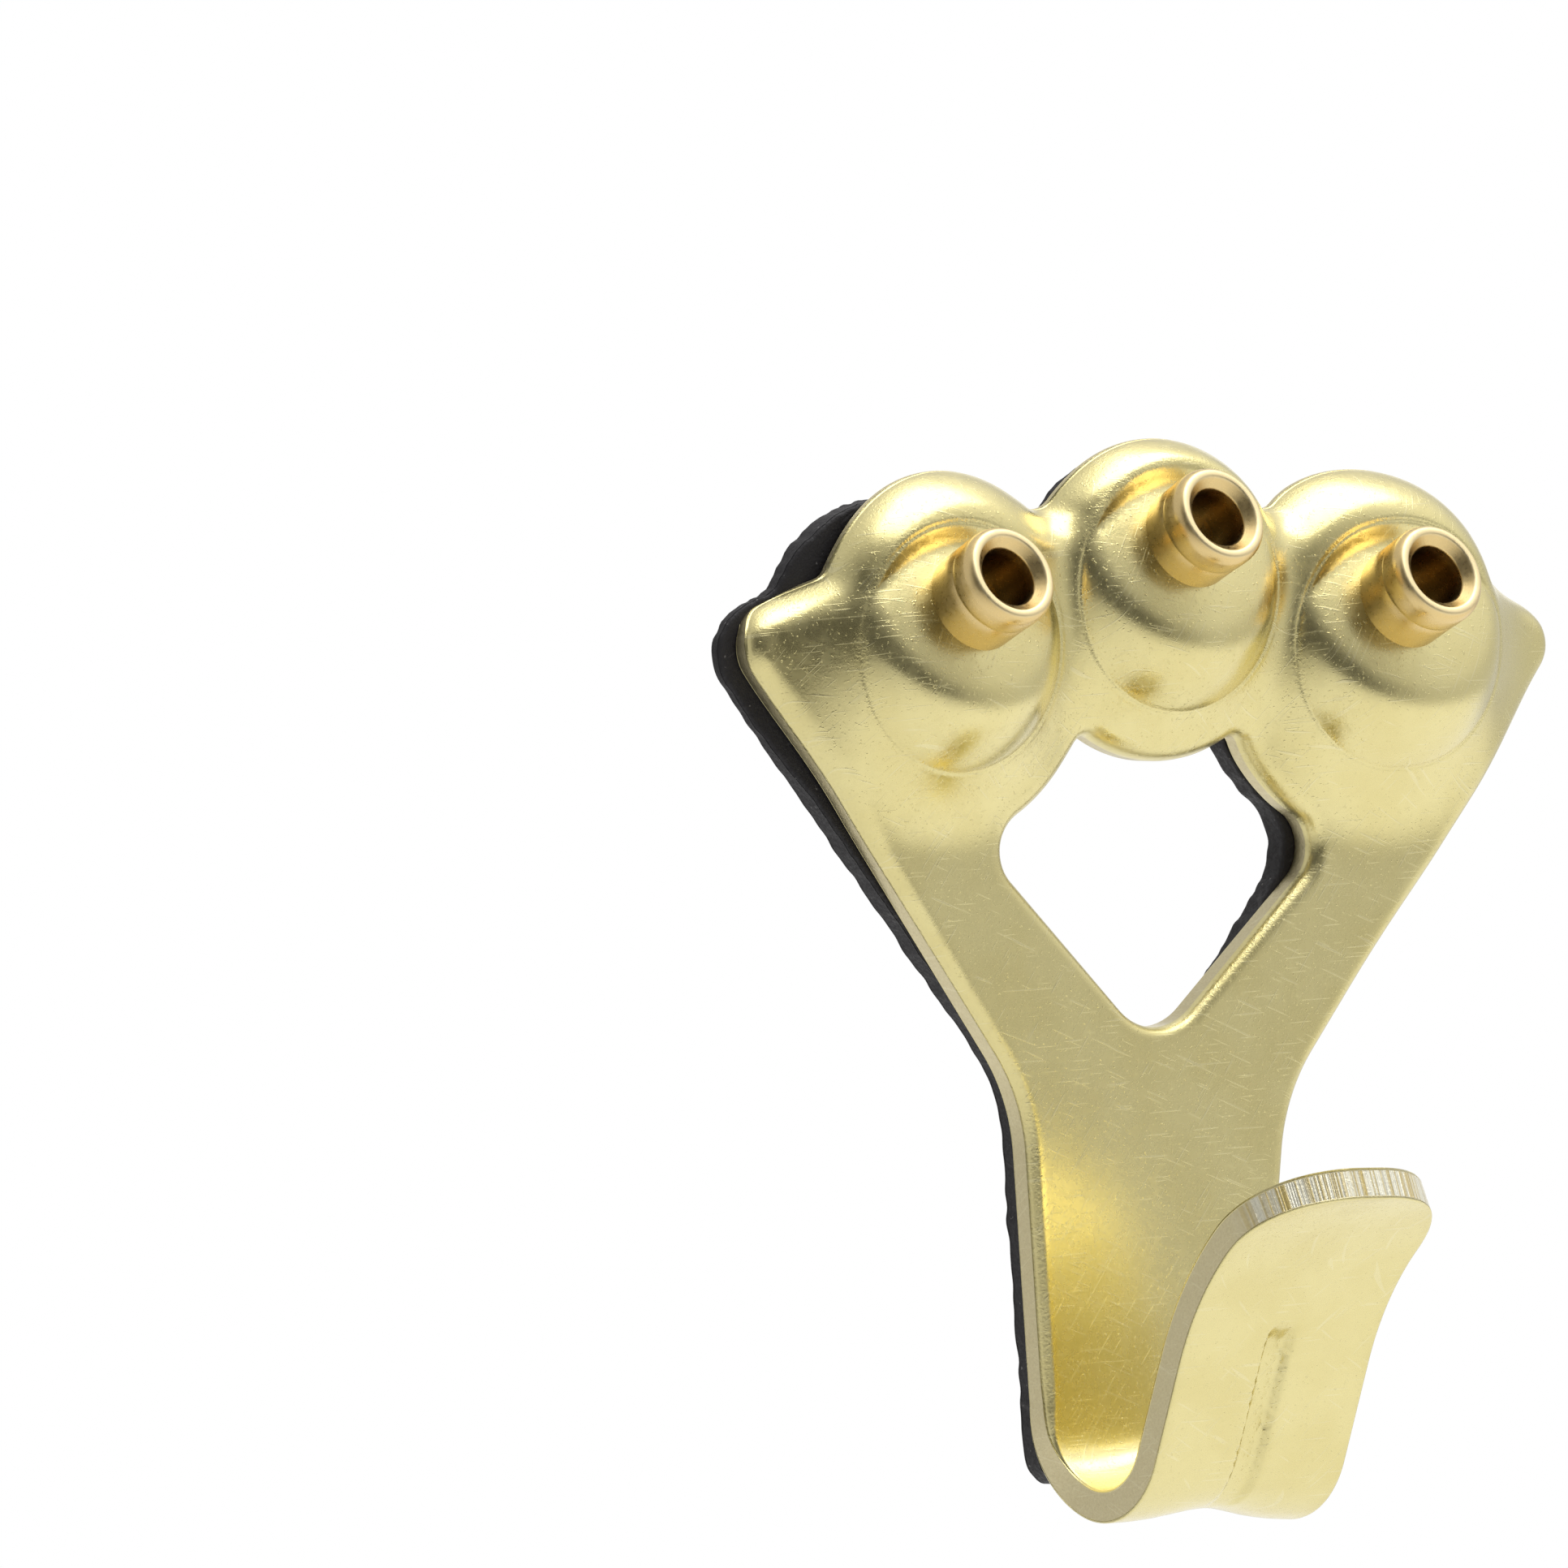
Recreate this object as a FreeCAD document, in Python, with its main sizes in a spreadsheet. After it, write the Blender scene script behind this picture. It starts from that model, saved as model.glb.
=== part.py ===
import FreeCAD, Part
import math
import os
import Sketcher

# Picture hook for three nails: a stamped plate with three bosses and a turned-up lip,
# three turned nail guides and a wall pad.
# X runs across the hook, the wall is the plane Y = 0, the front looks along -Y and Z is up.
# The origin lies on the wall, on the centre line, level with the middles of the outer bosses.

Vector = FreeCAD.Vector
Rotation = FreeCAD.Rotation
Placement = FreeCAD.Placement

doc = FreeCAD.newDocument("picture_hook")
sheet = doc.addObject("Spreadsheet::Sheet", "Sizes")

SIZES = [
    # Sheet metal and pad
    ("plate_thickness", 1.25),
    ("pad_thickness", 1.0),
    # Outline of the plate
    ("middle_lobe_radius", 6.0),
    ("middle_lobe_level", 1.64),
    ("side_lobe_radius", 5.97),
    ("side_lobe_reach", 9.6),
    ("side_lobe_level", 0.5),
    ("ear_radius", 1.63),
    ("ear_offset", 7.33),
    ("ear_level", 0.03),
    ("ear_top_angle", 24.0),
    ("vee_angle", 52.5),
    ("stem_angle", 85.0),
    ("stem_foot_half", 5.1),
    ("lobe_notch_radius", 0.9),
    ("ear_notch_radius", 0.6),
    ("vee_corner_radius", 7.0),
    ("edge_roll", 0.45),
    # Window
    ("window_side_radius", 7.25),
    ("window_top_radius", 6.45),
    ("window_point_drop", 15.05),
    ("window_angle", 43.3),
    ("window_point_rounding", 2.5),
    ("window_corner_rounding", 1.5),
    ("window_head_rounding", 0.5),
    # Bosses
    ("side_boss_reach", 10.2),
    ("middle_boss_level", 2.16),
    ("boss_line_radius", 4.6),
    ("boss_line_rise", 1.1),
    ("side_skirt_radius", 6.0),
    ("side_skirt_sink", 0.65),
    ("middle_skirt_radius", 5.3),
    ("middle_skirt_sink", 0.3),
    ("side_hollow_radius", 5.2),
    ("middle_hollow_radius", 4.5),
    ("hollow_top_radius", 3.0),
    ("hollow_rise", 1.7),
    ("boss_top_radius", 2.6),
    ("boss_top_rise", 0.6),
    ("boss_top_lift", 1.2),
    ("boss_top_tilt", 11.0),
    # Nail guides
    ("nail_angle", 25.0),
    ("side_guide_offset", 10.08),
    ("side_guide_reach", 2.27),
    ("side_guide_level", 0.91),
    ("middle_guide_reach", 1.96),
    ("middle_guide_level", 3.06),
    ("guide_length", 4.4),
    ("guide_radius", 1.98),
    ("guide_rim_radius", 1.82),
    ("guide_rim_length", 0.4),
    ("guide_bore_radius", 1.14),
    ("guide_sink_radius", 1.49),
    ("guide_sink_depth", 0.35),
    ("guide_fit", 0.01),
    ("pad_hole_clearance", 0.35),
    # Turned-up hook
    ("hook_half_width", 4.45),
    ("throat_radius", 2.2),
    ("throat_drop", 28.9),
    ("lip_lean", 22.0),
    ("lip_length", 4.0),
    ("flare_radius", 11.0),
    ("flare_lean", 67.5),
    ("tip_rounding", 4.0),
    ("groove_radius", 1.4),
    ("groove_depth", 0.45),
    ("groove_length", 5.0),
    ("groove_start", 235.0),
    ("ridge_radius", 1.05),
    # Outline of the pad
    ("pad_middle_radius", 5.2),
    ("pad_middle_level", 1.9),
    ("pad_side_radius", 5.47),
    ("pad_lobe_gap", 1.07),
    ("pad_side_level", -0.06),
    ("pad_ear_radius", 1.85),
    ("pad_ear_offset", 5.71),
    ("pad_ear_level", -0.25),
    ("pad_vee_angle", 48.9),
    ("pad_stem_angle", 84.7),
    ("pad_stem_foot_half", 4.4),
    ("pad_stem_foot_drop", 31.0),
    ("pad_vee_corner_radius", 5.0),
    ("pad_lobe_notch_radius", 1.5),
    ("pad_ear_notch_radius", 1.0),
    ("pad_foot_rounding", 1.2),
    ("pad_window_point_drop", 17.3),
    ("pad_window_angle", 53.0),
    ("pad_window_corner_rounding", 2.2),
]

# Places that follow from the sizes
RULES = [
    ("pad_side_reach", "=pad_middle_radius + pad_side_radius + pad_lobe_gap"),
    ("bend_reach", "=pad_thickness + plate_thickness + throat_radius"),
    ("tip_reach", "=bend_reach + (throat_radius + plate_thickness + flare_radius) * cos(lip_lean * 1 deg)"
                  " + lip_length * sin(lip_lean * 1 deg) - flare_radius * cos(flare_lean * 1 deg)"),
]

for row, (name, value) in enumerate(SIZES + RULES, start=1):
    sheet.set("A%d" % row, name)
    sheet.set("B%d" % row, str(value))
    sheet.setAlias("B%d" % row, name)
doc.recompute()


def size(name):
    return float(getattr(sheet, name))


def bind(item, **rules):
    for prop, rule in rules.items():
        item.setExpression(prop.replace("__", "."), rule)
    return item


# Turns a shape drawn flat so that its drawn X stays across, its Y is up and its height faces the front
FACE_FRONT = Rotation(Vector(1, 0, 0), 90)
# Turns a drawing of the side view so that its X runs from the wall to the front and its Y is up
SIDE_VIEW = Rotation(Vector(0, -1, 0), Vector(0, 0, 1), Vector(-1, 0, 0), "XYZ")
NO_TURN = Rotation(Vector(1, 0, 0), 0)
# Turns a drawing seen from above so that its Y runs from the wall to the front and its height is down
TOP_VIEW = Rotation(Vector(1, 0, 0), 180)
FORWARD = Vector(0, -1, 0)
DOWN = Vector(0, 0, -1)
ACROSS = Vector(1, 0, 0)
# Turns a round tool's axis from upright into the way that a nail leaves
NAIL_WAY = Rotation(Vector(1, 0, 0), 90 - size("nail_angle"))
# How far apart two levels may be and still count as the same
SAME = 1e-4


# Flat geometry of the drawings

def mirrored(point):
    return Vector(-point.x, point.y, 0)


def on_circle(centre, radius, angle):
    turn = math.radians(angle)
    return centre + Vector(radius * math.cos(turn), radius * math.sin(turn), 0)


def towards(start, end, length):
    step = end - start
    return start + step * (length / step.Length)


def circles_meet(one, one_radius, two, two_radius, upper):
    # Crossing point of two circles, the upper or the lower one
    gap = two - one
    along = (one_radius ** 2 - two_radius ** 2 + gap.Length ** 2) / (2 * gap.Length)
    aside = math.sqrt(one_radius ** 2 - along ** 2)
    axis = gap / gap.Length
    square = Vector(-axis.y, axis.x, 0)
    ends = [one + axis * along + square * aside, one + axis * along - square * aside]
    return max(ends, key=lambda p: p.y) if upper else min(ends, key=lambda p: p.y)


def line_meets_circle(point, way, centre, radius):
    # The crossing that lies further along the line
    gap = centre - point
    along = gap.dot(way)
    return point + way * (along + math.sqrt(radius ** 2 - gap.Length ** 2 + along ** 2))


def lines_meet(one, one_way, two, two_way):
    gap = two - one
    cross = one_way.x * two_way.y - one_way.y * two_way.x
    return one + one_way * ((gap.x * two_way.y - gap.y * two_way.x) / cross)


def line(start, end):
    return ("line", start, end)


def arc(centre, start, end, clockwise):
    return ("arc", start, end, centre, clockwise)


class Drawing:
    # Closed chain of lines and arcs in a sketch, each joined to the next one

    def __init__(self, name, placement):
        self.sketch = doc.addObject("Sketcher::SketchObject", name)
        self.sketch.Placement = placement
        self.ends = []

    def chain(self, pieces, corners):
        # Adds the pieces in order. A corner number means no tangent between that piece and the next.
        first = len(self.ends)
        for piece in pieces:
            self.add(piece)
        count = len(pieces)
        for k in range(count):
            here = first + k
            there = first + (k + 1) % count
            kind = "Coincident" if k in corners else "Tangent"
            self.sketch.addConstraint(Sketcher.Constraint(
                kind, here, self.ends[here][1], there, self.ends[there][0]))
        return first

    def add(self, piece):
        if piece[0] == "line":
            self.sketch.addGeometry(Part.LineSegment(piece[1], piece[2]), False)
            self.ends.append((1, 2))
            return
        start, end, centre, clockwise = piece[1:]
        low, high = (end, start) if clockwise else (start, end)
        angles = [math.atan2(p.y - centre.y, p.x - centre.x) for p in (low, high)]
        if angles[1] < angles[0]:
            angles[1] += 2 * math.pi
        circle = Part.Circle(centre, Vector(0, 0, 1), (low - centre).Length)
        self.sketch.addGeometry(Part.ArcOfCircle(circle, angles[0], angles[1]), False)
        self.ends.append((2, 1) if clockwise else (1, 2))

    def rule(self, kind, where, value, rule):
        # Dimension whose value comes from the sheet
        number = self.sketch.addConstraint(Sketcher.Constraint(kind, *where, value))
        self.sketch.setExpression("Constraints[%d]" % number, rule)

    def radius(self, piece, rule, value):
        self.rule("Radius", (piece,), value, rule)

    def point(self, piece, end, place, across, up):
        # Fixes a point by its distances from the drawing's origin
        self.rule("DistanceX", (-1, 1, piece, end), place.x, across)
        self.rule("DistanceY", (-1, 1, piece, end), place.y, up)

    def angle(self, piece, rule, degrees):
        self.rule("Angle", (piece,), math.radians(degrees), rule)


def outline_joints(own):
    # Right half of a blank's outline: the points where its pieces join, and the centres of its arcs
    middle = Vector(0, size(own["middle_level"]), 0)
    side = Vector(size(own["side_reach"]), size(own["side_level"]), 0)
    ear = Vector(side.x + size(own["ear_offset"]), size(own["ear_level"]), 0)
    middle_radius, side_radius, ear_radius = (size(own[k]) for k in ("middle", "side", "ear"))
    lobe_notch_radius, ear_notch_radius = size(own["lobe_notch"]), size(own["ear_notch"])
    corner_radius = size(own["vee_corner"])
    top_way = on_circle(Vector(0, 0, 0), 1, -size("ear_top_angle"))
    vee_way = on_circle(Vector(0, 0, 0), -1, size(own["vee_angle"]))
    stem_way = on_circle(Vector(0, 0, 0), -1, size(own["stem_angle"]))
    top_out, vee_out, stem_out = (Vector(-way.y, way.x, 0) for way in (top_way, vee_way, stem_way))
    foot_centre = Vector(size(own["foot_half"]), -size(own["foot_drop"]), 0)
    foot = foot_centre
    if "foot_rounding" in own:
        rounding = size(own["foot_rounding"])
        foot_centre = foot_centre + Vector(-rounding, rounding, 0)
        foot = foot_centre + stem_out * rounding
    lobe_notch = circles_meet(middle, middle_radius + lobe_notch_radius,
                              side, side_radius + lobe_notch_radius, True)
    ear_notch = line_meets_circle(ear + top_out * (ear_radius + ear_notch_radius), top_way,
                                  side, side_radius + ear_notch_radius)
    corner = lines_meet(ear + vee_out * (ear_radius + corner_radius), vee_way,
                        foot + stem_out * corner_radius, stem_way)
    centres = {"top": middle, "lobe_notch": lobe_notch, "side": side, "ear_notch": ear_notch,
               "ear": ear, "vee_corner": corner, "foot": foot_centre}
    joints = [
        towards(middle, lobe_notch, middle_radius),
        towards(side, lobe_notch, side_radius),
        towards(side, ear_notch, side_radius),
        ear_notch - top_out * ear_notch_radius,
        ear + top_out * ear_radius,
        ear + vee_out * ear_radius,
        corner - vee_out * corner_radius,
        corner - stem_out * corner_radius,
        foot,
    ]
    return joints, centres


def outline_drawing(name, back, own):
    # Outline of a blank: three lobes, two ears, slanted sides and a stem, with its foot rounded or not
    j, centres = outline_joints(own)
    clockwise = {"lobe_notch": False, "side": True, "ear_notch": False, "ear": True,
                 "vee_corner": False, "foot": True}
    names = ["lobe_notch", "side", "ear_notch", "ear_top", "ear", "vee", "vee_corner", "stem"]
    bottom = j[-1]
    if "foot_rounding" in own:
        names.append("foot")
        bottom = Vector(centres["foot"].x, -size(own["foot_drop"]), 0)
        j.append(bottom)
    right = []
    for k, piece in enumerate(names):
        if piece in centres:
            right.append(arc(centres[piece], j[k], j[k + 1], clockwise[piece]))
        else:
            right.append(line(j[k], j[k + 1]))
    left = []
    for piece in reversed(right):
        if piece[0] == "line":
            left.append(line(mirrored(piece[2]), mirrored(piece[1])))
        else:
            left.append(arc(mirrored(piece[3]), mirrored(piece[2]), mirrored(piece[1]), piece[4]))
    top = arc(centres["top"], mirrored(j[0]), j[0], True)
    base = line(bottom, mirrored(bottom))
    count = len(names)
    base_number = count + 1
    drawing = Drawing(name, Placement(Vector(0, 0, 0), FACE_FRONT))
    corners = () if "foot" in names else (count, base_number)
    drawing.chain([top] + right + [base] + left, corners)
    drawing.radius(0, "Sizes." + own["middle"], size(own["middle"]))
    drawing.point(0, 3, centres["top"], "0", "Sizes." + own["middle_level"])
    drawing.rule("DistanceY", (-1, 1, base_number, 1), bottom.y, "-Sizes." + own["foot_drop"])
    for sign in (1, -1):
        number = {piece: k if sign > 0 else 2 * base_number - k for k, piece in enumerate(names, start=1)}
        for piece in ("lobe_notch", "side", "ear_notch", "ear", "vee_corner"):
            drawing.radius(number[piece], "Sizes." + own[piece], size(own[piece]))
        side_reach = "Sizes." + own["side_reach"]
        ear_reach = "(%s + Sizes.%s)" % (side_reach, own["ear_offset"])
        for piece, reach in (("side", side_reach), ("ear", ear_reach)):
            place = Vector(sign * centres[piece].x, centres[piece].y, 0)
            drawing.point(number[piece], 3, place, "%d * %s" % (sign, reach),
                          "Sizes." + own[piece + "_level"])
        drawing.angle(number["ear_top"], "%d * Sizes.ear_top_angle * 1 deg" % -sign,
                      -sign * size("ear_top_angle"))
        for piece in ("vee", "stem"):
            key = own[piece + "_angle"]
            if sign > 0:
                drawing.angle(number[piece], "(Sizes.%s - 180) * 1 deg" % key, size(key) - 180)
            else:
                drawing.angle(number[piece], "(180 - Sizes.%s) * 1 deg" % key, 180 - size(key))
        if "foot" in names:
            drawing.radius(number["foot"], "Sizes." + own["foot_rounding"], size(own["foot_rounding"]))
            drawing.rule("DistanceX", (-1, 1, number["foot"], 3), sign * centres["foot"].x,
                         "%d * (Sizes.%s - Sizes.%s)" % (sign, own["foot_half"], own["foot_rounding"]))
        else:
            drawing.rule("DistanceX", (-1, 1, base_number, 1 if sign > 0 else 2), sign * bottom.x,
                         "%d * Sizes.%s" % (sign, own["foot_half"]))
    drawing.sketch.addConstraint(Sketcher.Constraint("Horizontal", base_number))
    bind(drawing.sketch, Placement__Base__y="-%s" % back if back else "0")
    return drawing


def add_window(drawing, point_drop, slant, corner_rounding):
    # Window: a vee whose upper sides run round the three bosses
    top = Vector(0, size("middle_boss_level"), 0)
    side = Vector(size("side_boss_reach"), 0, 0)
    top_radius = size("window_top_radius")
    side_radius = size("window_side_radius")
    head_radius = size("window_head_rounding")
    corner_radius = size(corner_rounding)
    point_radius = size("window_point_rounding")
    slope = size(slant)
    way = on_circle(Vector(0, 0, 0), 1, slope)
    inward = Vector(-way.y, way.x, 0)
    head = circles_meet(top, top_radius + head_radius, side, side_radius + head_radius, False)
    low = Vector(0, -size(point_drop), 0) + inward * corner_radius
    gap = side - low
    along = gap.dot(way)
    aside = (gap - way * along).Length
    corner = low + way * (along - math.sqrt((side_radius + corner_radius) ** 2 - aside ** 2))
    point = Vector(0, -size(point_drop) + point_radius / way.x, 0)
    j = [
        towards(top, head, top_radius),
        towards(side, head, side_radius),
        towards(side, corner, side_radius),
        corner - inward * corner_radius,
        point - inward * point_radius,
    ]
    first = drawing.chain([
        arc(top, mirrored(j[0]), j[0], False),
        arc(head, j[0], j[1], True),
        arc(side, j[1], j[2], False),
        arc(corner, j[2], j[3], True),
        line(j[3], j[4]),
        arc(point, j[4], mirrored(j[4]), True),
        line(mirrored(j[4]), mirrored(j[3])),
        arc(mirrored(corner), mirrored(j[3]), mirrored(j[2]), True),
        arc(mirrored(side), mirrored(j[2]), mirrored(j[1]), False),
        arc(mirrored(head), mirrored(j[1]), mirrored(j[0]), True),
    ], ())
    drawing.radius(first, "Sizes.window_top_radius", top_radius)
    drawing.point(first, 3, top, "0", "Sizes.middle_boss_level")
    drawing.radius(first + 5, "Sizes.window_point_rounding", point_radius)
    drawing.point(first + 5, 3, point, "0",
                  "Sizes.window_point_rounding / cos(Sizes.%s * 1 deg) - Sizes.%s" % (slant, point_drop))
    drawing.angle(first + 4, "(Sizes.%s - 180) * 1 deg" % slant, slope - 180)
    drawing.angle(first + 6, "(180 - Sizes.%s) * 1 deg" % slant, 180 - slope)
    for sign, head_piece, side_piece, corner_piece in ((1, 1, 2, 3), (-1, 9, 8, 7)):
        drawing.radius(first + head_piece, "Sizes.window_head_rounding", head_radius)
        drawing.radius(first + side_piece, "Sizes.window_side_radius", side_radius)
        drawing.radius(first + corner_piece, "Sizes." + corner_rounding, corner_radius)
        drawing.point(first + side_piece, 3, Vector(sign * side.x, 0, 0),
                      "%d * Sizes.side_boss_reach" % sign, "0")


def raised(name, drawing, way, depth, both_ways=False):
    # Slab made from a drawing, raised along a way, or by half its depth to either side
    item = doc.addObject("Part::Extrusion", name)
    item.Base = drawing.sketch
    item.DirMode = "Custom"
    item.Dir = way
    item.Solid = True
    item.Symmetric = both_ways
    return bind(item, LengthFwd=depth)


# Flat blank of the plate with its window
plate_drawing = outline_drawing("plate_outline", "Sizes.pad_thickness", {
    "middle": "middle_lobe_radius", "middle_level": "middle_lobe_level", "side": "side_lobe_radius",
    "side_reach": "side_lobe_reach", "side_level": "side_lobe_level", "ear": "ear_radius",
    "ear_offset": "ear_offset", "ear_level": "ear_level", "lobe_notch": "lobe_notch_radius",
    "ear_notch": "ear_notch_radius", "vee_corner": "vee_corner_radius", "vee_angle": "vee_angle",
    "stem_angle": "stem_angle", "foot_half": "stem_foot_half", "foot_drop": "throat_drop",
})
add_window(plate_drawing, "window_point_drop", "window_angle", "window_corner_rounding")
plate_flat = raised("plate_flat", plate_drawing, FORWARD, "Sizes.plate_thickness")

# Wall pad: a looser cut of the same outline
pad_drawing = outline_drawing("pad_outline", "", {
    "middle": "pad_middle_radius", "middle_level": "pad_middle_level", "side": "pad_side_radius",
    "side_reach": "pad_side_reach", "side_level": "pad_side_level", "ear": "pad_ear_radius",
    "ear_offset": "pad_ear_offset", "ear_level": "pad_ear_level", "lobe_notch": "pad_lobe_notch_radius",
    "ear_notch": "pad_ear_notch_radius", "vee_corner": "pad_vee_corner_radius",
    "vee_angle": "pad_vee_angle", "stem_angle": "pad_stem_angle", "foot_half": "pad_stem_foot_half",
    "foot_drop": "pad_stem_foot_drop", "foot_rounding": "pad_foot_rounding",
})
add_window(pad_drawing, "pad_window_point_drop", "pad_window_angle", "pad_window_corner_rounding")
pad_flat = raised("pad_flat", pad_drawing, FORWARD, "Sizes.pad_thickness")
doc.recompute()


def front_rim(edge):
    # Edge in the front face of the flat plate, except where the turned-up hook begins
    box = edge.BoundBox
    front = -(size("pad_thickness") + size("plate_thickness"))
    flat = abs(box.YMin - front) < SAME and abs(box.YMax - front) < SAME
    return flat and box.ZMax > SAME - size("throat_drop")


def solid(kind, name, turn, across, out, up, **rules):
    # Primitive whose base point lies across, out from the wall and up
    item = doc.addObject("Part::" + kind, name)
    item.Placement = Placement(Vector(0, 0, 0), turn)
    return bind(item, Placement__Base__x=across, Placement__Base__y="-(%s)" % out,
                Placement__Base__z=up, **rules)


def join(name, items):
    item = doc.addObject("Part::MultiFuse", name)
    item.Shapes = items
    item.Refine = True
    return item


def cut(name, base, tool):
    item = doc.addObject("Part::Cut", name)
    item.Base = base
    item.Tool = tool
    item.Refine = True
    return item


def bend_drawing():
    # Side view of the turned-up hook: bend, straight lip, flared end
    back = size("pad_thickness")
    thick = size("plate_thickness")
    inner = size("throat_radius")
    lean = size("lip_lean")
    flare = size("flare_radius")
    flare_lean = size("flare_lean")
    centre = Vector(back + thick + inner, -size("throat_drop"), 0)
    outward = on_circle(Vector(0, 0, 0), 1, -lean)
    upward = on_circle(Vector(0, 0, 0), 1, 90 - lean)
    low_inner = centre + outward * inner
    low_outer = centre + outward * (inner + thick)
    high_inner = low_inner + upward * size("lip_length")
    high_outer = low_outer + upward * size("lip_length")
    flare_centre = high_outer + outward * flare
    tip_inner = on_circle(flare_centre, flare + thick, 180 - flare_lean)
    tip_outer = on_circle(flare_centre, flare, 180 - flare_lean)
    root_front = centre - Vector(inner, 0, 0)
    root_back = root_front - Vector(thick, 0, 0)
    drawing = Drawing("bend_profile", Placement(Vector(0, 0, 0), SIDE_VIEW))
    drawing.chain([
        arc(centre, root_front, low_inner, False),
        line(low_inner, high_inner),
        arc(flare_centre, high_inner, tip_inner, True),
        line(tip_inner, tip_outer),
        arc(flare_centre, tip_outer, high_outer, False),
        line(high_outer, low_outer),
        arc(centre, low_outer, root_back, True),
        line(root_back, root_front),
    ], (2, 3, 6, 7))
    drawing.sketch.addConstraint(Sketcher.Constraint("Coincident", 0, 3, 6, 3))
    drawing.sketch.addConstraint(Sketcher.Constraint("Coincident", 2, 3, 4, 3))
    drawing.sketch.addConstraint(Sketcher.Constraint("PointOnObject", 2, 3, 3))
    drawing.radius(0, "Sizes.throat_radius", inner)
    drawing.radius(6, "Sizes.throat_radius + Sizes.plate_thickness", inner + thick)
    drawing.radius(4, "Sizes.flare_radius", flare)
    drawing.radius(2, "Sizes.flare_radius + Sizes.plate_thickness", flare + thick)
    drawing.point(0, 3, centre, "Sizes.bend_reach", "-Sizes.throat_drop")
    drawing.rule("DistanceY", (-1, 1, 7, 1), centre.y, "-Sizes.throat_drop")
    drawing.rule("DistanceY", (-1, 1, 7, 2), centre.y, "-Sizes.throat_drop")
    drawing.rule("Distance", (1,), size("lip_length"), "Sizes.lip_length")
    drawing.angle(1, "(90 - Sizes.lip_lean) * 1 deg", 90 - lean)
    drawing.angle(3, "-Sizes.flare_lean * 1 deg", -flare_lean)
    return drawing


def tip_drawing():
    # View from above of the turned-up hook: it narrows round the bend and has rounded corners at its tip
    foot = Vector(size("stem_foot_half"), size("pad_thickness"), 0)
    bend = Vector(size("hook_half_width"), size("bend_reach"), 0)
    rounding = size("tip_rounding")
    centre = Vector(bend.x - rounding, size("tip_reach") - rounding, 0)
    shoulder = Vector(bend.x, centre.y, 0)
    tip = Vector(centre.x, size("tip_reach"), 0)
    drawing = Drawing("tip_outline", Placement(Vector(0, 0, 0), TOP_VIEW))
    drawing.chain([
        line(foot, bend),
        line(bend, shoulder),
        arc(centre, shoulder, tip, False),
        line(tip, mirrored(tip)),
        arc(mirrored(centre), mirrored(tip), mirrored(shoulder), False),
        line(mirrored(shoulder), mirrored(bend)),
        line(mirrored(bend), mirrored(foot)),
        line(mirrored(foot), foot),
    ], (0, 5, 6, 7))
    drawing.point(0, 1, foot, "Sizes.stem_foot_half", "Sizes.pad_thickness")
    drawing.point(1, 1, bend, "Sizes.hook_half_width", "Sizes.bend_reach")
    drawing.point(5, 2, mirrored(bend), "-Sizes.hook_half_width", "Sizes.bend_reach")
    drawing.point(7, 1, mirrored(foot), "-Sizes.stem_foot_half", "Sizes.pad_thickness")
    drawing.radius(2, "Sizes.tip_rounding", rounding)
    drawing.radius(4, "Sizes.tip_rounding", rounding)
    for piece in (1, 5):
        drawing.sketch.addConstraint(Sketcher.Constraint("Vertical", piece))
    drawing.sketch.addConstraint(Sketcher.Constraint("Horizontal", 3))
    drawing.rule("DistanceY", (-1, 1, 3, 1), tip.y, "Sizes.tip_reach")
    return drawing


# Turned-up hook with its rounded tip
bend_band = raised("bend_band", bend_drawing(), ACROSS, "2 * Sizes.stem_foot_half", True)
tip_prism = raised("tip_prism", tip_drawing(), DOWN, "2 * Sizes.throat_drop")
bend_trimmed = doc.addObject("Part::MultiCommon", "bend_trimmed")
bend_trimmed.Shapes = [bend_band, tip_prism]


def pressed(prefix, ring_radius, radius):
    # Bead that follows the outer side of the bend and then the lip, with round ends
    ring_turn = SIDE_VIEW * Rotation(Vector(0, 0, 1), size("groove_start"))
    lip_turn = Rotation(Vector(1, 0, 0), size("lip_lean"))
    turn = solid("Torus", prefix + "_turn", ring_turn, "0", "Sizes.bend_reach", "-Sizes.throat_drop",
                 Radius1=ring_radius, Radius2=radius,
                 Angle3="360 - Sizes.lip_lean - Sizes.groove_start")
    low_out = "Sizes.bend_reach + (%s) * cos(Sizes.lip_lean * 1 deg)" % ring_radius
    low_up = "-Sizes.throat_drop - (%s) * sin(Sizes.lip_lean * 1 deg)" % ring_radius
    straight = solid("Cylinder", prefix + "_straight", lip_turn, "0", low_out, low_up,
                     Radius=radius, Height="Sizes.groove_length")
    high_out = low_out + " + Sizes.groove_length * sin(Sizes.lip_lean * 1 deg)"
    high_up = low_up + " + Sizes.groove_length * cos(Sizes.lip_lean * 1 deg)"
    head = solid("Sphere", prefix + "_head", NO_TURN, "0", high_out, high_up, Radius=radius)
    foot_out = "Sizes.bend_reach + (%s) * cos(Sizes.groove_start * 1 deg)" % ring_radius
    foot_up = "-Sizes.throat_drop + (%s) * sin(Sizes.groove_start * 1 deg)" % ring_radius
    foot = solid("Sphere", prefix + "_foot", NO_TURN, "0", foot_out, foot_up, Radius=radius)
    return join(prefix, [turn, straight, head, foot])


groove = pressed("groove", "Sizes.throat_radius + Sizes.plate_thickness + Sizes.groove_radius"
                 " - Sizes.groove_depth", "Sizes.groove_radius")
ridge = pressed("ridge", "Sizes.throat_radius + Sizes.ridge_radius - Sizes.groove_depth",
                "Sizes.ridge_radius")

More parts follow.
